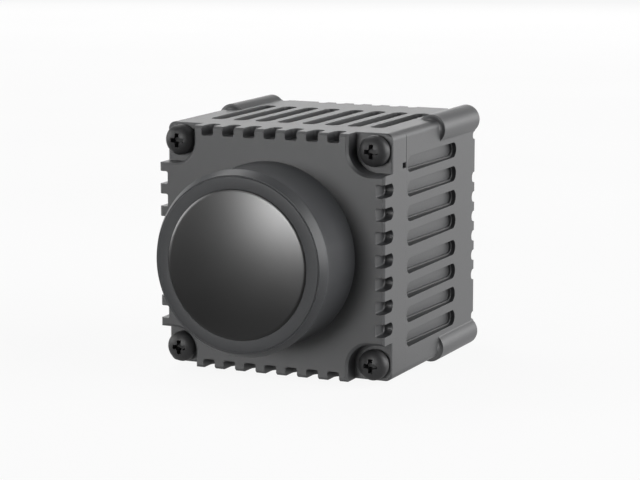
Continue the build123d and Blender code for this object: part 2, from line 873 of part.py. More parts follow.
# Shutter: a flag parked below the light path, swung in front of the detector by its motor
pivot = (pivot_x, -pivot_drop)
with BuildPart() as shutter_blade:
    with BuildSketch(facing_front(blade_y)):
        with Locations((parked_x, parked_z)):
            Circle(blade_radius)
        with Locations(pivot):
            Rectangle(
                pivot_distance, blade_arm_width, rotation=parked_angle, align=(Align.MIN, Align.CENTER)
            )
    extrude(amount=-blade_thickness)
    with BuildSketch(facing_front(hub_y)):
        with Locations(pivot):
            Circle(blade_hub_radius)
    extrude(amount=-blade_hub_length - blade_thickness)
    with BuildSketch(facing_front(hub_y)):
        with Locations(pivot):
            Circle(shaft_radius)
    extrude(amount=-blade_hub_length - blade_thickness, mode=Mode.SUBTRACT)
save(shutter_blade, "shutter_blade")

with BuildPart() as shutter_shaft:
    with BuildSketch(facing_front(hub_y)):
        with Locations(pivot):
            Circle(shaft_radius)
    extrude(amount=hub_y - holder_back_y - shaft_depth)
save(shutter_shaft, "shutter_shaft")

with BuildPart() as shutter_motor:
    with BuildSketch(facing_front(holder_back_y)):
        with Locations(pivot):
            Circle(motor_radius)
    extrude(amount=-motor_length)
    chamfer(shutter_motor.edges().sort_by(Axis.Y)[-1], motor_edge_chamfer)
    with BuildSketch(facing_front(holder_back_y)):
        with Locations(pivot):
            Circle(shaft_radius + running_gap)
    extrude(amount=-shaft_depth - motor_end_gap, mode=Mode.SUBTRACT)
save(shutter_motor, "shutter_motor")

with BuildPart() as sensor_holder:
    extrude(
        cut_corner_square(facing_rear(holder_y), holder_width, holder_corner_cut), amount=holder_thickness
    )
    with BuildSketch(facing_rear(cavity_y)):
        with GridLocations(2 * post_place, 2 * post_place, 2, 2):
            Circle(post_radius)
    extrude(amount=detector_board_y - cavity_y)
    with BuildSketch(facing_rear(cavity_y)):
        with GridLocations(2 * post_place, 2 * post_place, 2, 2):
            Circle(board_screw_radius + running_gap)
    extrude(amount=detector_board_y - cavity_y, mode=Mode.SUBTRACT)
    with BuildSketch(facing_rear(holder_y)):
        RectangleRounded(holder_aperture, holder_aperture, aperture_corner_radius)
    extrude(amount=holder_thickness, mode=Mode.SUBTRACT)
    with BuildSketch(facing_rear(package_y)):
        Rectangle(package_width + 2 * seat_gap, package_width + 2 * seat_gap)
    extrude(amount=package_pocket_depth, mode=Mode.SUBTRACT)
    with BuildSketch(facing_front(holder_y)):
        with Locations(pivot):
            Circle(shaft_radius + running_gap)
    extrude(amount=-holder_thickness, mode=Mode.SUBTRACT)
save(sensor_holder, "sensor_holder")

with BuildPart() as detector_package:
    with BuildSketch(facing_rear(package_y)):
        Rectangle(package_width, package_width)
    extrude(amount=package_thickness)
save(detector_package, "detector_package")

with BuildPart() as detector_window:
    with BuildSketch(facing_front(package_y)):
        Rectangle(detector_window_width, detector_window_width)
    extrude(amount=detector_window_thickness)
save(detector_window, "detector_window")


def board(y):
    """Circuit board at y with its four screw holes."""
    with BuildPart() as blank:
        extrude(cut_corner_square(facing_rear(y), board_width, board_corner_cut), amount=board_thickness)
        with BuildSketch(facing_rear(y)):
            with GridLocations(2 * post_place, 2 * post_place, 2, 2):
                Circle(board_screw_radius + running_gap)
        extrude(amount=board_thickness, mode=Mode.SUBTRACT)
    return blank.part


def spacer(length, stud):
    """Hexagon spacer along +Z from the origin, with a stud below it and a tapped hole above."""
    with BuildPart() as post:
        with BuildSketch():
            RegularPolygon(spacer_size / 2, 6, major_radius=False)
        extrude(amount=length)
        with BuildSketch():
            Circle(board_screw_radius)
        extrude(amount=-stud)
        with BuildSketch(Plane.XY.offset(length)):
            Circle(board_screw_radius + running_gap)
        extrude(amount=-spacer_grip - seat_gap, mode=Mode.SUBTRACT)
    return post.part


with BuildPart() as detector_board:
    add(board(detector_board_y))
    with BuildSketch(facing_front(detector_board_y)):
        with Locations(pivot):
            Circle(motor_radius + socket_gap)
    extrude(amount=-board_thickness, mode=Mode.SUBTRACT)
save(detector_board, "detector_board")

with BuildPart() as processor_board:
    add(board(processor_board_y))
save(processor_board, "processor_board")

with BuildPart() as interface_board:
    add(board(interface_board_y))
save(interface_board, "interface_board")

with BuildPart(facing_rear(front_spacer_y)) as front_spacers:
    with GridLocations(2 * post_place, 2 * post_place, 2, 2):
        add(spacer(front_spacer_length, front_spacer_y - cavity_y + stud_grip))
save(front_spacers, "front_spacers")

with BuildPart(facing_rear(rear_spacer_y)) as rear_spacers:
    with GridLocations(2 * post_place, 2 * post_place, 2, 2):
        add(spacer(rear_spacer_length, board_thickness + spacer_grip))
save(rear_spacers, "rear_spacers")

with BuildPart() as board_screws:
    with BuildSketch(facing_rear(board_screw_y)):
        with GridLocations(2 * post_place, 2 * post_place, 2, 2):
            Circle(board_screw_head_radius)
    extrude(amount=board_screw_head_height)
    with BuildSketch(facing_front(board_screw_y)):
        with GridLocations(2 * post_place, 2 * post_place, 2, 2):
            Circle(board_screw_radius)
    extrude(amount=board_thickness + spacer_grip)
save(board_screws, "board_screws")

with BuildPart() as front_board_link:
    with BuildSketch(facing_rear(front_spacer_y)):
        with Locations((0, board_link_place)):
            Rectangle(board_link_length, board_link_width)
    extrude(amount=front_spacer_length)
save(front_board_link, "front_board_link")

with BuildPart() as rear_board_link:
    with BuildSketch(facing_rear(rear_spacer_y)):
        with Locations((0, -board_link_place)):
            Rectangle(board_link_length, board_link_width)
    extrude(amount=rear_spacer_length)
save(rear_board_link, "rear_board_link")

with BuildPart() as memory_chips:
    with BuildSketch(facing_front(processor_board_y)):
        with Locations((-memory_place, 0)):
            with GridLocations(0, memory_spread, 1, 2):
                Rectangle(memory_width, memory_length)
    extrude(amount=memory_height)
save(memory_chips, "memory_chips")

with BuildPart() as processor_chip:
    with BuildSketch(facing_rear(rear_spacer_y)):
        Rectangle(processor_width, processor_width)
    extrude(amount=processor_height)
save(processor_chip, "processor_chip")

with BuildPart() as thermal_pad:
    with BuildSketch(facing_rear(pad_front_y)):
        Rectangle(processor_width, processor_width)
    extrude(amount=thermal_pad_thickness)
save(thermal_pad, "thermal_pad")

# Heat spreader: a plate across the cavity whose two flanges lie on the housing's walls
with BuildPart() as heat_spreader:
    spreader_length = housing_cavity_width - 2 * running_gap
    with BuildSketch(facing_rear(spreader_y)):
        Rectangle(spreader_length, spreader_width)
    extrude(amount=spreader_flange_length)
    with BuildSketch(facing_rear(spreader_y + spreader_thickness)):
        Rectangle(spreader_length - 2 * spreader_flange_thickness, spreader_width)
    extrude(amount=spreader_flange_length, mode=Mode.SUBTRACT)
save(heat_spreader, "heat_spreader")

with BuildPart() as interface_socket:
    with BuildSketch(facing_rear(board_screw_y)):
        Rectangle(socket_width, socket_width)
    extrude(amount=socket_height)
    with BuildSketch(facing_front(board_screw_y + socket_height)):
        with PolarLocations(pin_circle_radius, pin_count):
            Circle(pin_radius + running_gap)
    extrude(amount=pin_tail, mode=Mode.SUBTRACT)
save(interface_socket, "interface_socket")

with BuildPart() as power_inductors:
    with BuildSketch(facing_rear(board_screw_y)):
        with GridLocations(2 * inductor_place, 0, 2, 1):
            RectangleRounded(inductor_width, inductor_width, aperture_corner_radius)
    extrude(amount=inductor_height)
save(power_inductors, "power_inductors")
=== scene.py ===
"""Looks of a square automotive thermal camera: its finishes, front screws, turned lens parts and studio.

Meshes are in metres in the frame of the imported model: +Z up, lens looking along -Y.
"""

import logging
import math
from abc import ABC, abstractmethod
from dataclasses import dataclass, field
from enum import Enum

import bmesh
import bpy
from bpy.types import Light, Material, Mesh, Node, NodeSocket, NodeTree, Object
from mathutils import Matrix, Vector


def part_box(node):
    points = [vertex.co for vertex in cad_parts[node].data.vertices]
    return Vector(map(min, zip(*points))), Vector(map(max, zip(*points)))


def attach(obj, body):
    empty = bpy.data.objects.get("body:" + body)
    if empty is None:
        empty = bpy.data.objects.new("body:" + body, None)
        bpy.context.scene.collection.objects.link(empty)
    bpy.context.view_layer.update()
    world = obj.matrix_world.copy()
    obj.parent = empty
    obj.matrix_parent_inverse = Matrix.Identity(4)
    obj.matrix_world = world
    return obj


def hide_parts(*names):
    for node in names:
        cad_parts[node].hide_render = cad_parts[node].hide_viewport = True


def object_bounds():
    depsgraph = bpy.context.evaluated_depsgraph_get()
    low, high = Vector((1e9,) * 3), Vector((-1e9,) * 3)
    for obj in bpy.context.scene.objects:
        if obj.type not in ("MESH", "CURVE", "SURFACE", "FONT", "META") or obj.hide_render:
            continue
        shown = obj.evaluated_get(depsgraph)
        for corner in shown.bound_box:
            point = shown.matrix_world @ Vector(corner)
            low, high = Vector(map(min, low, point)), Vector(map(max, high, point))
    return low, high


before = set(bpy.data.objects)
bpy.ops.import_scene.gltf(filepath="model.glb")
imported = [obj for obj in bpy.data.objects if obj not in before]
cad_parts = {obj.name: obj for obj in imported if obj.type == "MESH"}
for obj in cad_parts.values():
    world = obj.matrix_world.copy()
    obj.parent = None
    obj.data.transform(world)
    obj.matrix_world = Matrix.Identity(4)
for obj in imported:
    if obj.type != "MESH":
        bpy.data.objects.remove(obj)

CAD_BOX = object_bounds()
LOG = logging.getLogger("thermal_camera")
MM = 0.001
Outline = list[tuple[float, float]]

# Least turn in degrees that a corner needs to be rounded, and the most of an edge that a round takes.
LEAST_TURN = 12.0
ROUND_SHARE = 0.45


def linear(hex_colour: str) -> tuple[float, float, float, float]:
    """Turn an sRGB hex colour into the linear colour that shaders take.

    Args:
        hex_colour: Six hex digits, such as "3a3b3d".

    Returns:
        Linear red, green, blue and an alpha of 1.
    """
    channels = []
    for start in (0, 2, 4):
        value = int(hex_colour[start:start + 2], 16) / 255
        channels.append(value / 12.92 if value <= 0.04045 else ((value + 0.055) / 1.055) ** 2.4)
    return (channels[0], channels[1], channels[2], 1.0)


def per_metre(size_mm: float) -> float:
    """Return the texture scale at which one feature of a pattern is size_mm wide."""
    return 1 / (size_mm * MM)


def add_node(
    tree: NodeTree,
    kind: str,
    settings: dict[str | int, object] | None = None,
    links: dict[str | int, NodeSocket] | None = None,
) -> Node:
    """Add a shader node with its settings and its incoming links.

    Args:
        tree: Node tree that gets the node.
        kind: Type name of the node.
        settings: Socket values, or properties of the node where it has no such socket.
        links: Socket name or number to the output that feeds it.

    Returns:
        The new node.
    """
    node = tree.nodes.new(kind)
    for name, value in (settings or {}).items():
        if isinstance(name, int) or name in node.inputs:
            node.inputs[name].default_value = value
        else:
            setattr(node, name, value)
    for name, source in (links or {}).items():
        tree.links.new(source, node.inputs[name])
    return node


@dataclass(frozen=True)
class Finish(ABC):
    """A real surface: what it is made of and how it was made."""

    name: str
    slot: str

    def material(self) -> Material:
        """Return the finish as a material, made once.

        Returns:
            The material, the same one each time.
        """
        made = bpy.data.materials.get(self.name)
        if made:
            return made
        made = bpy.data.materials.new(self.name)
        made.use_nodes = True
        tree = made.node_tree
        tree.nodes.clear()
        shader = add_node(tree, "ShaderNodeBsdfPrincipled")
        place = add_node(tree, "ShaderNodeTexCoord").outputs["Object"]
        add_node(tree, "ShaderNodeOutputMaterial", links={"Surface": shader.outputs["BSDF"]})
        self.surface(tree, shader, place)
        return made

    @abstractmethod
    def surface(self, tree: NodeTree, shader: Node, place: NodeSocket) -> None:
        """Fill in the shader's sockets.

        Args:
            tree: The material's node tree.
            shader: The node that takes colour, gloss and relief.
            place: Position in the part's frame, in metres.
        """


@dataclass(frozen=True)
class PowderCoat(Finish):
    """Polyester powder coat over die-cast aluminium: fine grain, soft sheen, paint rounding the edges.

    The coat's real grain, near 0.1 mm, is too fine to show, so it is drawn three times as coarse.
    """

    light: str = "2e2f31"
    dark: str = "292a2c"
    grain_mm: float = 0.30
    cloud_mm: float = 9.0
    edge_mm: float = 0.14
    roughness: tuple[float, float] = (0.44, 0.54)
    grain_depth: float = 0.16
    grain_height_mm: float = 0.1
    grain_detail: float = 2.0
    cloud_detail: float = 3.0
    edge_samples: int = 6
    index: float = 1.95

    def surface(self, tree: NodeTree, shader: Node, place: NodeSocket) -> None:
        """Mottle the colour slightly, and give the coat its grain and rounded edges.

        Args:
            tree: The material's node tree.
            shader: The node that takes colour, gloss and relief.
            place: Position in the part's frame, in metres.
        """
        cloud = add_node(
            tree,
            "ShaderNodeTexNoise",
            {"Scale": per_metre(self.cloud_mm), "Detail": self.cloud_detail},
            {"Vector": place},
        )
        grain = add_node(
            tree,
            "ShaderNodeTexNoise",
            {"Scale": per_metre(self.grain_mm), "Detail": self.grain_detail},
            {"Vector": place},
        )
        tone = add_node(
            tree,
            "ShaderNodeMixRGB",
            {"Color1": linear(self.dark), "Color2": linear(self.light)},
            {"Fac": cloud.outputs["Fac"]},
        )
        matt = add_node(
            tree,
            "ShaderNodeMapRange",
            {"To Min": self.roughness[0], "To Max": self.roughness[1]},
            {"Value": grain.outputs["Fac"]},
        )
        edge = add_node(
            tree, "ShaderNodeBevel", {"samples": self.edge_samples, "Radius": self.edge_mm * MM}
        )
        bump = add_node(
            tree,
            "ShaderNodeBump",
            {"Strength": self.grain_depth, "Distance": self.grain_height_mm * MM},
            {"Height": grain.outputs["Fac"], "Normal": edge.outputs["Normal"]},
        )
        shader.inputs["IOR"].default_value = self.index
        tree.links.new(tone.outputs["Color"], shader.inputs["Base Color"])
        tree.links.new(matt.outputs["Result"], shader.inputs["Roughness"])
        tree.links.new(bump.outputs["Normal"], shader.inputs["Normal"])


@dataclass(frozen=True)
class TurnedAnodised(Finish):
    """Black anodised aluminium, turned on a lathe: satin, with fine rings round the lens axis.

    The tool's real feed, near 0.1 mm, is too fine to show, so the rings are drawn three times as coarse.
    """

    light: str = "4a4b4d"
    dark: str = "434446"
    axis_height: float = 0.0
    ring_mm: float = 0.30
    fleck_mm: float = 0.5
    roughness: tuple[float, float] = (0.36, 0.44)
    ring_depth: float = 0.05
    ring_height_mm: float = 0.02
    fleck_detail: float = 4.0

    def surface(self, tree: NodeTree, shader: Node, place: NodeSocket) -> None:
        """Cut rings whose phase grows both along the axis and away from it.

        Args:
            tree: The material's node tree.
            shader: The node that takes colour, gloss and relief.
            place: Position in the part's frame, in metres.
        """
        split = add_node(tree, "ShaderNodeSeparateXYZ", links={0: place})
        height = add_node(
            tree, "ShaderNodeMath", {"operation": "SUBTRACT", 1: self.axis_height}, {0: split.outputs["Z"]}
        )
        flat = add_node(
            tree, "ShaderNodeCombineXYZ", links={"X": split.outputs["X"], "Y": height.outputs[0]}
        )
        radius = add_node(
            tree, "ShaderNodeVectorMath", {"operation": "LENGTH"}, {0: flat.outputs["Vector"]}
        )
        reach = add_node(
            tree,
            "ShaderNodeMath",
            {"operation": "ADD"},
            {0: radius.outputs["Value"], 1: split.outputs["Y"]},
        )
        phase = add_node(
            tree,
            "ShaderNodeMath",
            {"operation": "MULTIPLY", 1: math.tau * per_metre(self.ring_mm)},
            {0: reach.outputs[0]},
        )
        rings = add_node(tree, "ShaderNodeMath", {"operation": "SINE"}, {0: phase.outputs[0]})
        fleck = add_node(
            tree,
            "ShaderNodeTexNoise",
            {"Scale": per_metre(self.fleck_mm), "Detail": self.fleck_detail},
            {"Vector": place},
        )
        tone = add_node(
            tree,
            "ShaderNodeMixRGB",
            {"Color1": linear(self.dark), "Color2": linear(self.light)},
            {"Fac": fleck.outputs["Fac"]},
        )
        matt = add_node(
            tree,
            "ShaderNodeMapRange",
            {"To Min": self.roughness[0], "To Max": self.roughness[1]},
            {"Value": fleck.outputs["Fac"]},
        )
        bump = add_node(
            tree,
            "ShaderNodeBump",
            {"Strength": self.ring_depth, "Distance": self.ring_height_mm * MM},
            {"Height": rings.outputs[0]},
        )
        tree.links.new(tone.outputs["Color"], shader.inputs["Base Color"])
        tree.links.new(matt.outputs["Result"], shader.inputs["Roughness"])
        tree.links.new(bump.outputs["Normal"], shader.inputs["Normal"])


@dataclass(frozen=True)
class CoatedOptic(Finish):
    """Polished germanium or silicon under a hard coating: nearly black, with a smooth broad reflection."""

    light: str = "070708"
    dark: str = "030303"
    haze_mm: float = 6.0
    haze_detail: float = 2.0
    roughness: tuple[float, float] = (0.29, 0.32)
    index: float = 2.0

    def surface(self, tree: NodeTree, shader: Node, place: NodeSocket) -> None:
        """Vary the coating's haze very slightly over the surface.

        Args:
            tree: The material's node tree.
            shader: The node that takes colour, gloss and relief.
            place: Position in the part's frame, in metres.
        """
        haze = add_node(
            tree,
            "ShaderNodeTexNoise",
            {"Scale": per_metre(self.haze_mm), "Detail": self.haze_detail},
            {"Vector": place},
        )
        tone = add_node(
            tree,
            "ShaderNodeMixRGB",
            {"Color1": linear(self.dark), "Color2": linear(self.light)},
            {"Fac": haze.outputs["Fac"]},
        )
        matt = add_node(
            tree,
            "ShaderNodeMapRange",
            {"To Min": self.roughness[0], "To Max": self.roughness[1]},
            {"Value": haze.outputs["Fac"]},
        )
        shader.inputs["IOR"].default_value = self.index
        tree.links.new(tone.outputs["Color"], shader.inputs["Base Color"])
        tree.links.new(matt.outputs["Result"], shader.inputs["Roughness"])


@dataclass(frozen=True)
class Grained(Finish):
    """A plain moulded, plated or machined surface with a grain of its own."""

    light: str = "303030"
    dark: str = "242424"
    grain_mm: float = 0.4
    stretch: tuple[float, float, float] = (1.0, 1.0, 1.0)
    roughness: tuple[float, float] = (0.4, 0.5)
    grain_depth: float = 0.1
    metallic: float = 0.0
    edge_mm: float = 0.08
    grain_height_mm: float = 0.05
    grain_detail: float = 4.0
    edge_samples: int = 4

    def surface(self, tree: NodeTree, shader: Node, place: NodeSocket) -> None:
        """Run the grain along the stretched direction, in colour, roughness and relief.

        Args:
            tree: The material's node tree.
            shader: The node that takes colour, gloss and relief.
            place: Position in the part's frame, in metres.
        """
        along = add_node(tree, "ShaderNodeMapping", {"Scale": self.stretch}, {"Vector": place})
        grain = add_node(
            tree,
            "ShaderNodeTexNoise",
            {"Scale": per_metre(self.grain_mm), "Detail": self.grain_detail},
            {"Vector": along.outputs["Vector"]},
        )
        tone = add_node(
            tree,
            "ShaderNodeMixRGB",
            {"Color1": linear(self.dark), "Color2": linear(self.light)},
            {"Fac": grain.outputs["Fac"]},
        )
        matt = add_node(
            tree,
            "ShaderNodeMapRange",
            {"To Min": self.roughness[0], "To Max": self.roughness[1]},
            {"Value": grain.outputs["Fac"]},
        )
        edge = add_node(
            tree, "ShaderNodeBevel", {"samples": self.edge_samples, "Radius": self.edge_mm * MM}
        )
        bump = add_node(
            tree,
            "ShaderNodeBump",
            {"Strength": self.grain_depth, "Distance": self.grain_height_mm * MM},
            {"Height": grain.outputs["Fac"], "Normal": edge.outputs["Normal"]},
        )
        shader.inputs["Metallic"].default_value = self.metallic
        tree.links.new(tone.outputs["Color"], shader.inputs["Base Color"])
        tree.links.new(matt.outputs["Result"], shader.inputs["Roughness"])
        tree.links.new(bump.outputs["Normal"], shader.inputs["Normal"])


@dataclass(frozen=True)
class CircuitBoard(Finish):
    """Green solder mask over etched copper on glass-epoxy: fine raised tracks under a glossy film."""

    mask: str = "0f5a2e"
    track: str = "1a7038"
    track_mm: float = 1.1
    track_spread: float = 0.85
    track_edge: tuple[float, float] = (0.06, 0.12)
    track_depth: float = 0.4
    track_height_mm: float = 0.04
    roughness: float = 0.3

    def surface(self, tree: NodeTree, shader: Node, place: NodeSocket) -> None:
        """Draw the tracks as the edges of irregular cells, and lift them a little.

        Args:
            tree: The material's node tree.
            shader: The node that takes colour, gloss and relief.
            place: Position in the part's frame, in metres.
        """
        cells = add_node(
            tree,
            "ShaderNodeTexVoronoi",
            {
                "feature": "DISTANCE_TO_EDGE",
                "Scale": per_metre(self.track_mm),
                "Randomness": self.track_spread,
            },
            {"Vector": place},
        )
        lift = add_node(
            tree,
            "ShaderNodeMapRange",
            {
                "From Min": self.track_edge[0],
                "From Max": self.track_edge[1],
                "To Min": 1.0,
                "To Max": 0.0,
            },
            {"Value": cells.outputs["Distance"]},
        )
        tone = add_node(
            tree,
            "ShaderNodeMixRGB",
            {"Color1": linear(self.mask), "Color2": linear(self.track)},
            {"Fac": lift.outputs["Result"]},
        )
        bump = add_node(
            tree,
            "ShaderNodeBump",
            {"Strength": self.track_depth, "Distance": self.track_height_mm * MM},
            {"Height": lift.outputs["Result"]},
        )
        shader.inputs["Roughness"].default_value = self.roughness
        tree.links.new(tone.outputs["Color"], shader.inputs["Base Color"])
        tree.links.new(bump.outputs["Normal"], shader.inputs["Normal"])


def dress(finish: Finish, *nodes: str) -> None:
    """Give the named CAD nodes a finish.

    Args:
        finish: The finish that they get.
        nodes: Names of the nodes.
    """
    for name in nodes:
        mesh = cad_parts[name].data
        mesh.materials.clear()
        mesh.materials.append(finish.material())
        LOG.info("%s: %s", name, finish.name)


def add_piece(name: str, mesh: Mesh, finish: Finish, body: str, replaced: str) -> Object:
    """Put a modelled piece in the scene in place of a CAD node.

    Args:
        name: Name of the piece.
        mesh: Its mesh, in metres in the part's frame.
        finish: Its finish.
        body: CAD body that it rides on.
        replaced: CAD node that it stands for.

    Returns:
        The new object.
    """
    piece = bpy.data.objects.new(name, mesh)
    bpy.context.scene.collection.objects.link(piece)
    mesh.materials.append(finish.material())
    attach(piece, body)
    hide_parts(replaced)
    LOG.info("%s: %d faces on %s", name, len(mesh.polygons), body)
    return piece


def shade(mesh: Mesh, sharp_angle: float = 40.0) -> None:
    """Smooth a mesh, and keep edges over sharp_angle degrees crisp."""
    mesh.polygons.foreach_set("use_smooth", [True] * len(mesh.polygons))
    mesh.set_sharp_from_angle(angle=math.radians(sharp_angle))


def rounded(corners: Outline, radius: float, steps: int = 4) -> Outline:
    """Round the corners of a closed outline with small arcs.

    Args:
        corners: Outline as (y, radius) points in millimetres.
        radius: Radius of each round, limited by the shorter neighbouring edge.
        steps: Number of pieces in each arc.

    Returns:
        The rounded outline.
    """
    outline = []
    count = len(corners)
    for index, corner in enumerate(corners):
        here = Vector(corner)
        back = Vector(corners[index - 1]) - here
        ahead = Vector(corners[(index + 1) % count]) - here
        turn = math.pi - back.angle(ahead)
        if turn < math.radians(LEAST_TURN):
            outline.append(corner)
            continue
        shorter = min(back.length, ahead.length)
        cut = min(radius * math.tan(turn / 2), ROUND_SHARE * shorter)
        start = here + back.normalized() * cut
        end = here + ahead.normalized() * cut
        for step in range(steps + 1):
            share = step / steps
            point = start.lerp(here, share).lerp(here.lerp(end, share), share)
            outline.append((point.x, point.y))
    return outline


def turned(name: str, outline: Outline, axis_height: float, segments: int = 192) -> Mesh:
    """Turn a closed outline round the lens axis.

    Args:
        name: Name of the mesh.
        outline: Points as (y, radius) in metres, closed by itself; a radius of 0 lies on the axis.
        axis_height: Height of the lens axis in metres.
        segments: Number of steps round the axis.

    Returns:
        The turned mesh, with smooth shading.
    """
    points: list[tuple[float, float, float]] = []
    rings: list[list[int]] = []
    for y, radius in outline:
        if radius <= 0:
            rings.append([len(points)] * segments)
            points.append((0.0, y, axis_height))
            continue
        rings.append(list(range(len(points), len(points) + segments)))
        for step in range(segments):
            angle = math.tau * step / segments
            points.append((radius * math.cos(angle), y, axis_height + radius * math.sin(angle)))
    faces = []
    for index, ring in enumerate(rings):
        following = rings[(index + 1) % len(rings)]
        for step in range(segments):
            after = (step + 1) % segments
            face = list(dict.fromkeys((ring[step], ring[after], following[after], following[step])))
            if len(face) > 2:
                faces.append(face)
    mesh = bpy.data.meshes.new(name)
    mesh.from_pydata(points, [], faces)
    mesh.validate()
    shade(mesh)
    return mesh


AXIS_HEIGHT = (CAD_BOX[0][2] + CAD_BOX[1][2]) / 2

# Sprayed and baked on the castings: dark, slightly grained, with a soft sheen.
CASE_COAT = PowderCoat("powder_coated_die_casting", "case")
# Turned and dyed black: satin, with rings that draw the light out round the lens.
LENS_ANODISED = TurnedAnodised("black_anodised_turned_aluminium", "barrel", axis_height=AXIS_HEIGHT)
# The same in matt, inside the lens, where nothing may shine.
CELL_ANODISED = TurnedAnodised(
    "matt_anodised_turned_aluminium",
    "cell",
    light="2b2b2d",
    dark="232325",
    axis_height=AXIS_HEIGHT,
    roughness=(0.5, 0.6),
)
# A hard coating on polished germanium: nearly black, with one soft broad highlight.
WINDOW_COAT = CoatedOptic("hard_coated_germanium", "window")
# Thin coatings on the inner lenses: glossy, with a dull violet cast.
LENS_COAT = CoatedOptic(
    "anti_reflection_coated_germanium", "lens", "4b4550", "3f3a46", roughness=(0.1, 0.14)
)
# Polished and coated silicon: glossy mid grey.
SILICON_COAT = CoatedOptic(
    "coated_silicon", "detector_glass", "6b6f74", "5c6066", roughness=(0.08, 0.12)
)
# Steel blackened in a bath: dark, with a faint oily gloss.
BLACK_OXIDE = Grained(
    "black_oxide_steel", "screws", "3a3a3b", "303031", grain_mm=0.25, roughness=(0.38, 0.5), edge_mm=0.1
)
# Moulded rubber: black and dull.
SILICONE = Grained("silicone_rubber", "rubber", "1c1c1d", "151516", grain_mm=0.6, roughness=(0.75, 0.85))
# Bare turned steel: pale metal with marks drawn out by the tool.
TURNED_STEEL = Grained(
    "turned_stainless_steel",
    "steel",
    "c9cacc",
    "b2b3b5",
    grain_mm=0.2,
    stretch=(1.0, 8.0, 1.0),
    roughness=(0.24, 0.36),
    metallic=1.0,
)
# Nickel from a plating bath: smooth, bright, slightly warm metal.
NICKEL_PLATE = Grained(
    "bright_nickel_plate",
    "plated",
    "cfccc4",
    "beb9ae",
    grain_mm=0.8,
    roughness=(0.16, 0.26),
    grain_depth=0.05,
    metallic=1.0,
)
# Smooth yellow metal on the contacts and the spacers.
GOLD_PLATE = Grained(
    "gold_plate",
    "contacts",
    "e3bd66",
    "d2a850",
    grain_mm=0.5,
    roughness=(0.18, 0.28),
    grain_depth=0.05,
    metallic=1.0,
    edge_mm=0.05,
)
# Nylon moulded with glass fibres: dark, with a rough, lively skin.
GLASS_NYLON = Grained(
    "glass_filled_nylon",
    "insulator",
    "262628",
    "1d1d1f",
    grain_mm=0.35,
    roughness=(0.45, 0.6),
    grain_depth=0.2,
)
# Green lacquer on the boards: glossy over raised tracks.
SOLDER_MASK = CircuitBoard("solder_masked_board", "board")
# Moulded chip bodies: dark, dry and finely grained.
MOULDED_EPOXY = Grained("moulded_epoxy", "chips", "222224", "19191b", grain_mm=0.15, roughness=(0.55, 0.65))
# A fired housing for the detector: warm grey and dry.
CERAMIC = Grained("fired_ceramic", "ceramic", "8d8780", "7d7870", grain_mm=0.3, roughness=(0.5, 0.62))
# A soft filled pad: pale blue grey without gloss.
SOFT_PAD = Grained("heat_conducting_pad", "pad", "a9b6c6", "98a5b6", grain_mm=0.7, roughness=(0.7, 0.8))
# Milled and dyed black: satin, with cutter marks one way.
HOLDER_ANODISED = Grained(
    "black_anodised_milled_aluminium",
    "holder",
    "3a3a3c",
    "303032",
    grain_mm=0.3,
    stretch=(6.0, 1.0, 1.0),
    roughness=(0.42, 0.52),
)
# Bare milled metal: bright, with cutter marks one way.
MILLED_ALUMINIUM = Grained(
    "milled_aluminium",
    "spreader",
    "d8d9db",
    "c2c3c6",
    grain_mm=0.4,
    stretch=(10.0, 1.0, 1.0),
    roughness=(0.28, 0.4),
    metallic=1.0,
)
# Rolled sheet with a dead matt coat, which throws back next to nothing.
BLACK_SHEET = Grained("matt_black_sheet", "blade", "1a1a1a", "121212", grain_mm=0.2, roughness=(0.7, 0.8))


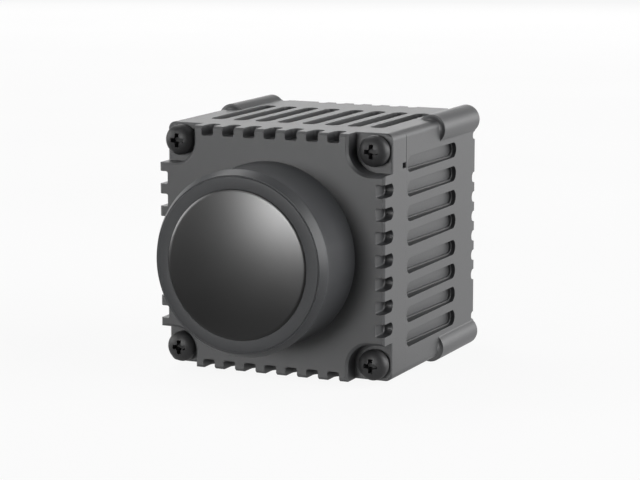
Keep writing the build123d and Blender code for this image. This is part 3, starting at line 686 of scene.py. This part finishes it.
@dataclass
class Case:
    """The castings, the rear cover and what seals and holds them. Sizes are in millimetres."""

    body: str = "camera"
    head_radius: float = 2.8
    head_height: float = 2.2
    head_rim: float = 0.8
    shank_radius: float = 1.5
    cross_length: float = 2.7
    cross_width: float = 0.8
    cross_core: float = 0.6
    cross_depth: float = 1.7
    cross_arms: int = 4
    floor_length_share: float = 0.85
    floor_width_share: float = 0.9
    run_out: float = 0.3
    dome_steps: int = 12
    screw_segments: int = 64

    def screw_outline(self, length: float) -> Outline:
        """Return one screw's section from its top: domed head, straight rim and shank.

        Args:
            length: Length of the whole screw.

        Returns:
            Points as (y, radius) in metres.
        """
        rim = self.head_height - self.head_rim
        points = []
        for step in range(self.dome_steps + 1):
            angle = math.pi / 2 * step / self.dome_steps
            points.append((rim * (1 - math.cos(angle)), self.head_radius * math.sin(angle)))
        points += [(self.head_height, self.head_radius), (self.head_height, self.shank_radius)]
        points += [(length, self.shank_radius), (length, 0.0)]
        return [(y * MM, radius * MM) for y, radius in points]

    def cross_cutter(self) -> Mesh:
        """Return the tapered cross that is sunk into a head, with corners filled towards its core.

        Returns:
            A closed mesh in metres that stands out of the head's top at the origin.
        """
        points = []
        levels = (
            (-self.run_out, 1.0, 1.0),
            (self.cross_depth, self.floor_length_share, self.floor_width_share),
        )
        for depth, length_share, width_share in levels:
            reach = self.cross_length / 2 * length_share
            half = self.cross_width / 2 * width_share
            core = self.cross_core * width_share
            for arm in range(self.cross_arms):
                angle = math.tau * arm / self.cross_arms
                cosine = math.cos(angle)
                sine = math.sin(angle)
                for x, z in ((reach, half), (core, half), (half, core), (half, reach)):
                    points.append(((x * cosine - z * sine) * MM, depth * MM, (x * sine + z * cosine) * MM))
        count = len(points) // 2
        faces = [list(range(count)), list(range(2 * count - 1, count - 1, -1))]
        for step in range(count):
            after = (step + 1) % count
            faces.append([step, step + count, after + count, after])
        mesh = bpy.data.meshes.new("cross_cutter")
        mesh.from_pydata(points, [], faces)
        wound = bmesh.new()
        wound.from_mesh(mesh)
        bmesh.ops.recalc_face_normals(wound, faces=wound.faces)
        wound.to_mesh(mesh)
        wound.free()
        return mesh

    def screw(self, length: float) -> Mesh:
        """Return one screw with its cross sunk into the head.

        Args:
            length: Length of the whole screw.

        Returns:
            The mesh, with the top of the head at the origin.
        """
        body = turned("screw_blank", self.screw_outline(length), 0.0, self.screw_segments)
        blank = bpy.data.objects.new("screw_blank", body)
        cutter = bpy.data.objects.new("cross_cutter", self.cross_cutter())
        for helper in (blank, cutter):
            bpy.context.scene.collection.objects.link(helper)
        cut = blank.modifiers.new("cross", "BOOLEAN")
        cut.object = cutter
        cut.solver = "EXACT"
        graph = bpy.context.evaluated_depsgraph_get()
        mesh = bpy.data.meshes.new_from_object(blank.evaluated_get(graph))
        for helper in (blank, cutter):
            bpy.data.objects.remove(helper)
        return mesh

    def front_screws(self) -> Mesh:
        """Return the four screws at the places that the CAD screws have.

        Returns:
            One mesh with all four, in the part's frame.
        """
        low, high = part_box("front_screws")
        one = self.screw((high[1] - low[1]) / MM)
        radius = self.head_radius * MM
        joined = bmesh.new()
        for x in (low[0] + radius, high[0] - radius):
            for z in (low[2] + radius, high[2] - radius):
                before = len(joined.verts)
                joined.from_mesh(one)
                joined.verts.ensure_lookup_table()
                bmesh.ops.translate(joined, vec=(x, low[1], z), verts=joined.verts[before:])
        mesh = bpy.data.meshes.new("pan_head_screws")
        joined.to_mesh(mesh)
        joined.free()
        shade(mesh)
        return mesh

    def build(self) -> None:
        """Model the front screws, and dress the castings, the other screws and the gaskets."""
        add_piece("pan_head_screws", self.front_screws(), BLACK_OXIDE, self.body, "front_screws")
        dress(CASE_COAT, "front_cover", "main_housing", "rear_cover")
        dress(BLACK_OXIDE, "front_washers", "rear_screws")
        dress(SILICONE, "front_gasket", "rear_gasket", "barrel_seal", "window_seal", "connector_seal")


@dataclass
class Lens:
    """The barrel with its window and ring, and the lens cell behind them. Sizes are in millimetres."""

    body: str = "camera"
    ring_projection: float = 13.5
    rim_setback: float = 0.15
    rim_radius: float = 16.85
    waist_radius: float = 16.35
    base_radius: float = 16.8
    chamfer_width: float = 0.85
    chamfer_length: float = 1.65
    rim_land: float = 0.3
    bore_radius: float = 12.9
    spigot_radius: float = 14.4
    spigot_length: float = 4.5
    ring_outer_radius: float = 15.75
    ring_bevel: float = 0.1
    window_proud: float = 0.05
    window_radius: float = 13.5
    window_bevel: float = 0.04
    window_sag: float = 0.9
    window_flange_radius: float = 14.8
    flange_depth: float = 1.1
    flange_thickness: float = 1.4
    seal_thickness: float = 0.8
    edge_round: float = 0.03
    waist_steps: int = 16
    dome_steps: int = 24
    gap: float = 0.03
    plate_y: float = field(default_factory=lambda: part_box("front_cover")[0][1])

    def in_frame(self, outline: Outline) -> Outline:
        """Move an outline from millimetres behind the plate's face into the part's frame."""
        return [(self.plate_y + y * MM, radius * MM) for y, radius in outline]

    def arc(
        self, start: tuple[float, float], middle: float, end: tuple[float, float]
    ) -> Outline:
        """Return points on a shallow arc between two (y, radius) points.

        Args:
            start: First point.
            middle: Radius that the arc reaches halfway.
            end: Last point.

        Returns:
            The points of the arc, with both ends.
        """
        points = []
        for step in range(self.waist_steps + 1):
            share = step / self.waist_steps
            straight = start[1] + (end[1] - start[1]) * share
            dip = (middle - (start[1] + end[1]) / 2) * 4 * share * (1 - share)
            points.append((start[0] + (end[0] - start[0]) * share, straight + dip))
        return points

    def barrel_outline(self) -> Outline:
        """Return the barrel's section: chamfered rim, waisted side, spigot and counterbore.

        Returns:
            Points as (y, radius) in millimetres behind the plate's face.
        """
        rim = -self.ring_projection + self.rim_setback
        corner = rim + self.chamfer_length
        shoulder = -self.ring_projection + self.flange_depth + self.flange_thickness + self.seal_thickness
        seat = self.ring_outer_radius + self.gap
        front = [
            (shoulder, seat),
            (rim, seat),
            (rim, self.rim_radius - self.chamfer_width),
            (corner, self.rim_radius),
        ]
        side = self.arc(
            (corner + self.rim_land, self.rim_radius), self.waist_radius, (0.0, self.base_radius)
        )
        back = [(0.0, self.spigot_radius), (self.spigot_length, self.spigot_radius)]
        back += [(self.spigot_length, self.bore_radius), (shoulder, self.bore_radius)]
        return rounded(front + side + back, self.edge_round)

    def ring_outline(self) -> Outline:
        """Return the retaining ring's section, with its skirt round the window's flange.

        Returns:
            Points as (y, radius) in millimetres behind the plate's face.
        """
        face = -self.ring_projection
        back = face + self.flange_depth
        skirt_end = back + self.flange_thickness
        inner = self.window_radius + self.gap
        outline = [
            (face, inner),
            (face, self.ring_outer_radius - self.ring_bevel),
            (face + self.ring_bevel, self.ring_outer_radius),
            (skirt_end, self.ring_outer_radius),
            (skirt_end, self.window_flange_radius + self.gap),
            (back, self.window_flange_radius + self.gap),
            (back, inner),
        ]
        return rounded(outline, self.edge_round)

    def window_outline(self) -> Outline:
        """Return the window's section: shallow dome, bevelled edge and flange.

        Returns:
            Points as (y, radius) in millimetres behind the plate's face.
        """
        rim = -self.ring_projection - self.window_proud
        land = self.window_radius - self.window_bevel
        dome = []
        for step in range(self.dome_steps + 1):
            radius = land * step / self.dome_steps
            dome.append((rim - self.window_sag * (1 - (radius / land) ** 2), radius))
        back = -self.ring_projection + self.flange_depth
        inside = back + self.flange_thickness
        edge = [(rim + self.window_bevel, self.window_radius), (back, self.window_radius)]
        flange = [(back, self.window_flange_radius), (inside, self.window_flange_radius)]
        return dome + edge + flange + [(inside, 0.0)]

    def build(self) -> None:
        """Model the turned outer pieces, and dress the cell and its lenses."""
        pieces = {
            "barrel": (self.barrel_outline(), LENS_ANODISED, "lens_barrel"),
            "retaining_ring": (self.ring_outline(), LENS_ANODISED, "window_ring"),
            "front_window": (self.window_outline(), WINDOW_COAT, "window"),
        }
        for name, (outline, finish, replaced) in pieces.items():
            mesh = turned(name, self.in_frame(outline), AXIS_HEIGHT)
            add_piece(name, mesh, finish, self.body, replaced)
        dress(CELL_ANODISED, "lens_cell", "lens_lock_ring", "lens_spacer", "rear_lock_ring")
        dress(LENS_COAT, "objective_lens", "rear_lens", "field_lens")


@dataclass
class Shutter:
    """The flag that swings in front of the detector, its shaft and its motor."""

    def build(self) -> None:
        """Dress the three pieces."""
        dress(BLACK_SHEET, "shutter_blade")
        dress(TURNED_STEEL, "shutter_shaft", "shutter_motor")


@dataclass
class Electronics:
    """The holder, the detector and the stack of boards."""

    def build(self) -> None:
        """Dress the boards and what stands on them."""
        dress(HOLDER_ANODISED, "sensor_holder")
        dress(CERAMIC, "detector_package")
        dress(SILICON_COAT, "detector_window")
        dress(SOLDER_MASK, "detector_board", "processor_board", "interface_board")
        dress(GOLD_PLATE, "front_spacers", "rear_spacers")
        dress(TURNED_STEEL, "board_screws")
        dress(GLASS_NYLON, "front_board_link", "rear_board_link", "interface_socket")
        dress(MOULDED_EPOXY, "memory_chips", "processor_chip", "power_inductors")
        dress(SOFT_PAD, "thermal_pad")
        dress(MILLED_ALUMINIUM, "heat_spreader")


@dataclass
class Connector:
    """The round connector on the rear cover."""

    def build(self) -> None:
        """Dress the shell, nut, insert and contacts."""
        dress(NICKEL_PLATE, "connector_shell", "connector_nut")
        dress(GLASS_NYLON, "connector_insert")
        dress(GOLD_PLATE, "connector_pins")


class LampForm(Enum):
    """Shape of a soft lamp."""

    SQUARE = "SQUARE"
    OBLONG = "RECTANGLE"


@dataclass(frozen=True)
class Lamp:
    """A soft lamp aimed at the middle of the part.

    Angles are in degrees, lengths in metres and radiance in watts per square metre and steradian.
    An azimuth of 0 is in front of the lens, and 90 on the side of +X.
    """

    name: str
    azimuth: float
    elevation: float
    distance: float
    size: tuple[float, float]
    radiance: float
    form: LampForm = LampForm.OBLONG

    def build(self, target: Vector) -> None:
        """Hang the lamp and aim it.

        Args:
            target: Point that it faces.
        """
        data: Light = bpy.data.lights.new(self.name, "AREA")
        data.shape = self.form.value
        data.size, data.size_y = self.size
        data.energy = self.radiance * math.pi * self.size[0] * self.size[1]
        lamp = bpy.data.objects.new(self.name, data)
        bpy.context.scene.collection.objects.link(lamp)
        turn = math.radians(self.azimuth)
        rise = math.radians(self.elevation)
        direction = Vector(
            (math.sin(turn) * math.cos(rise), -math.cos(turn) * math.cos(rise), math.sin(rise))
        )
        lamp.location = target + direction * self.distance
        lamp.rotation_euler = direction.to_track_quat("Z", "Y").to_euler()


@dataclass
class Studio:
    """Pale floor, white surroundings, soft lamps and the camera at the photograph's angle.

    Lengths are in metres and angles in degrees. Levels of light are shares of the white that the
    camera sees. Mirroring surfaces see less of it from the ceiling and towards the front, where it
    dims over front_fade, in y on the floor, and over front_direction, in y of the ray in the cove.
    """

    floor_size: float = 6.0
    floor_light: str = "ffffff"
    floor_dark: str = "fcfcfc"
    floor_cloud_mm: float = 120.0
    floor_bounce: str = "484848"
    floor_glow: float = 0.92
    floor_roughness: float = 0.9
    floor_specular: float = 0.1
    cove_colour: str = "ffffff"
    front_fade: tuple[float, float] = (-0.07, 0.03)
    ambient: float = 0.25
    ceiling_start: float = 12.0
    ceiling_full: float = 26.0
    ceiling_light: float = 0.08
    front_light: float = 0.04
    front_direction: tuple[float, float] = (-0.9, -0.2)
    camera_azimuth: float = 24.63
    camera_elevation: float = 9.74
    camera_from_plate: tuple[float, float, float] = (0.18923, -0.39103, 0.07698)
    focal_length_mm: float = 137.38
    nearest: float = 0.01
    lamps: tuple[Lamp, ...] = (
        Lamp("window_light", -10.0, 4.0, 0.9, (0.3, 0.3), 11.2, LampForm.SQUARE),
        Lamp("front_softbox", -20.0, 22.0, 0.9, (0.4, 0.3), 1.5),
        Lamp("left_softbox", -65.0, 10.0, 0.9, (0.5, 0.5), 3.0, LampForm.SQUARE),
        Lamp("right_softbox", 100.0, 20.0, 0.9, (1.1, 0.7), 3.5),
        Lamp("low_strip", 155.0, 7.0, 0.9, (0.6, 0.25), 1.3),
        Lamp("rear_softbox", 200.0, 12.0, 0.9, (0.7, 0.3), 2.5),
        Lamp("upper_left_softbox", -115.0, 55.0, 0.9, (0.5, 0.4), 3.5),
        Lamp("upper_right_softbox", 80.0, 55.0, 0.9, (0.3, 0.3), 0.6, LampForm.SQUARE),
    )

    def floor(self) -> None:
        """Lay a plain pale floor that glows nearly white and keeps the part's shadow."""
        half = self.floor_size / 2
        mesh = bpy.data.meshes.new("floor")
        corners = [(-half, -half, 0), (half, -half, 0), (half, half, 0), (-half, half, 0)]
        mesh.from_pydata(corners, [], [(0, 1, 2, 3)])
        floor = bpy.data.objects.new("floor", mesh)
        bpy.context.scene.collection.objects.link(floor)
        paint = bpy.data.materials.new("pale_floor")
        paint.use_nodes = True
        tree = paint.node_tree
        shader = tree.nodes["Principled BSDF"]
        path = add_node(tree, "ShaderNodeLightPath")
        place = add_node(tree, "ShaderNodeTexCoord").outputs["Object"]
        cloud = add_node(
            tree, "ShaderNodeTexNoise", {"Scale": per_metre(self.floor_cloud_mm)}, {"Vector": place}
        )
        tone = add_node(
            tree,
            "ShaderNodeMixRGB",
            {"Color1": linear(self.floor_dark), "Color2": linear(self.floor_light)},
            {"Fac": cloud.outputs["Fac"]},
        )
        paint_tone = add_node(
            tree,
            "ShaderNodeMixRGB",
            {"Color1": linear(self.floor_bounce)},
            {"Fac": path.outputs["Is Camera Ray"], "Color2": tone.outputs["Color"]},
        )
        shader.inputs["Roughness"].default_value = self.floor_roughness
        shader.inputs["Specular IOR Level"].default_value = self.floor_specular
        glow = add_node(tree, "ShaderNodeEmission", {"Strength": 1.0}, {"Color": tone.outputs["Color"]})
        split = add_node(tree, "ShaderNodeSeparateXYZ", links={0: place})
        depth = add_node(
            tree,
            "ShaderNodeMapRange",
            {
                "interpolation_type": "SMOOTHSTEP",
                "From Min": self.front_fade[0],
                "From Max": self.front_fade[1],
                "To Min": self.front_light,
                "To Max": 1.0,
            },
            {"Value": split.outputs["Y"]},
        )
        share = add_node(
            tree,
            "ShaderNodeMath",
            {"operation": "MULTIPLY", 1: self.floor_glow},
            {0: self.background_rays(tree, depth.outputs["Result"])},
        )
        mixed = add_node(
            tree,
            "ShaderNodeMixShader",
            links={0: share.outputs[0], 1: shader.outputs["BSDF"], 2: glow.outputs["Emission"]},
        )
        tree.links.new(paint_tone.outputs["Color"], shader.inputs["Base Color"])
        tree.links.new(mixed.outputs["Shader"], tree.nodes["Material Output"].inputs["Surface"])
        mesh.materials.append(paint)

    def background_rays(self, tree: NodeTree, mirrored_level: NodeSocket) -> NodeSocket:
        """Return how brightly a ray sees the background: 1 from the camera, less in mirrors and glass.

        Args:
            tree: Node tree that the nodes go into.
            mirrored_level: Level for rays that come by way of a mirror or glass.

        Returns:
            The socket that holds the level, 0 for all other rays.
        """
        path = add_node(tree, "ShaderNodeLightPath")
        indirect = add_node(
            tree,
            "ShaderNodeMath",
            {"operation": "MAXIMUM"},
            {0: path.outputs["Is Glossy Ray"], 1: path.outputs["Is Transmission Ray"]},
        )
        mirrored = add_node(
            tree, "ShaderNodeMath", {"operation": "MULTIPLY"}, {0: indirect.outputs[0], 1: mirrored_level}
        )
        seen = add_node(
            tree,
            "ShaderNodeMath",
            {"operation": "MAXIMUM"},
            {0: mirrored.outputs[0], 1: path.outputs["Is Camera Ray"]},
        )
        return seen.outputs[0]

    def surroundings(self) -> None:
        """Stand the part in a white cove under a dark ceiling, with a dimmer side behind the camera."""
        world = bpy.data.worlds.new("studio")
        bpy.context.scene.world = world
        world.use_nodes = True
        tree = world.node_tree
        background = tree.nodes["Background"]
        background.inputs["Color"].default_value = linear(self.cove_colour)
        direction = add_node(tree, "ShaderNodeTexCoord").outputs["Generated"]
        split = add_node(tree, "ShaderNodeSeparateXYZ", links={0: direction})
        ceiling = add_node(
            tree,
            "ShaderNodeMapRange",
            {
                "interpolation_type": "SMOOTHSTEP",
                "From Min": math.sin(math.radians(self.ceiling_start)),
                "From Max": math.sin(math.radians(self.ceiling_full)),
                "To Min": 1.0,
                "To Max": self.ceiling_light,
            },
            {"Value": split.outputs["Z"]},
        )
        front = add_node(
            tree,
            "ShaderNodeMapRange",
            {
                "interpolation_type": "SMOOTHSTEP",
                "From Min": self.front_direction[0],
                "From Max": self.front_direction[1],
                "To Min": self.front_light,
                "To Max": 1.0,
            },
            {"Value": split.outputs["Y"]},
        )
        cove = add_node(
            tree,
            "ShaderNodeMath",
            {"operation": "MULTIPLY"},
            {0: ceiling.outputs["Result"], 1: front.outputs["Result"]},
        )
        diffuse = add_node(
            tree, "ShaderNodeMath", {"operation": "MULTIPLY", 1: self.ambient}, {0: cove.outputs[0]}
        )
        strength = add_node(
            tree,
            "ShaderNodeMath",
            {"operation": "MAXIMUM"},
            {0: diffuse.outputs[0], 1: self.background_rays(tree, cove.outputs[0])},
        )
        tree.links.new(strength.outputs[0], background.inputs["Strength"])

    def camera(self) -> None:
        """Stand the camera where the photograph was taken from."""
        data = bpy.data.cameras.new("camera")
        data.lens = self.focal_length_mm
        data.clip_start = self.nearest
        camera = bpy.data.objects.new("camera", data)
        bpy.context.scene.collection.objects.link(camera)
        plate_middle = Vector((0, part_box("front_cover")[0][1], AXIS_HEIGHT))
        camera.location = plate_middle + Vector(self.camera_from_plate)
        tilt = math.radians(90 - self.camera_elevation)
        camera.rotation_euler = (tilt, 0, math.radians(self.camera_azimuth))
        bpy.context.scene.camera = camera

    def build(self) -> None:
        """Set up floor, surroundings, lamps and camera."""
        self.floor()
        self.surroundings()
        middle = (Vector(CAD_BOX[0]) + Vector(CAD_BOX[1])) / 2
        for lamp in self.lamps:
            lamp.build(middle)
        self.camera()
        bpy.context.scene.view_settings.view_transform = "Standard"


def main() -> None:
    """Build the sub-assemblies in order, then the studio."""
    logging.basicConfig(level=logging.INFO, format="%(name)s: %(message)s")
    for assembly in (Case(), Lens(), Shutter(), Electronics(), Connector(), Studio()):
        assembly.build()
        LOG.info("%s done", type(assembly).__name__)


if __name__ == "__main__":
    main()
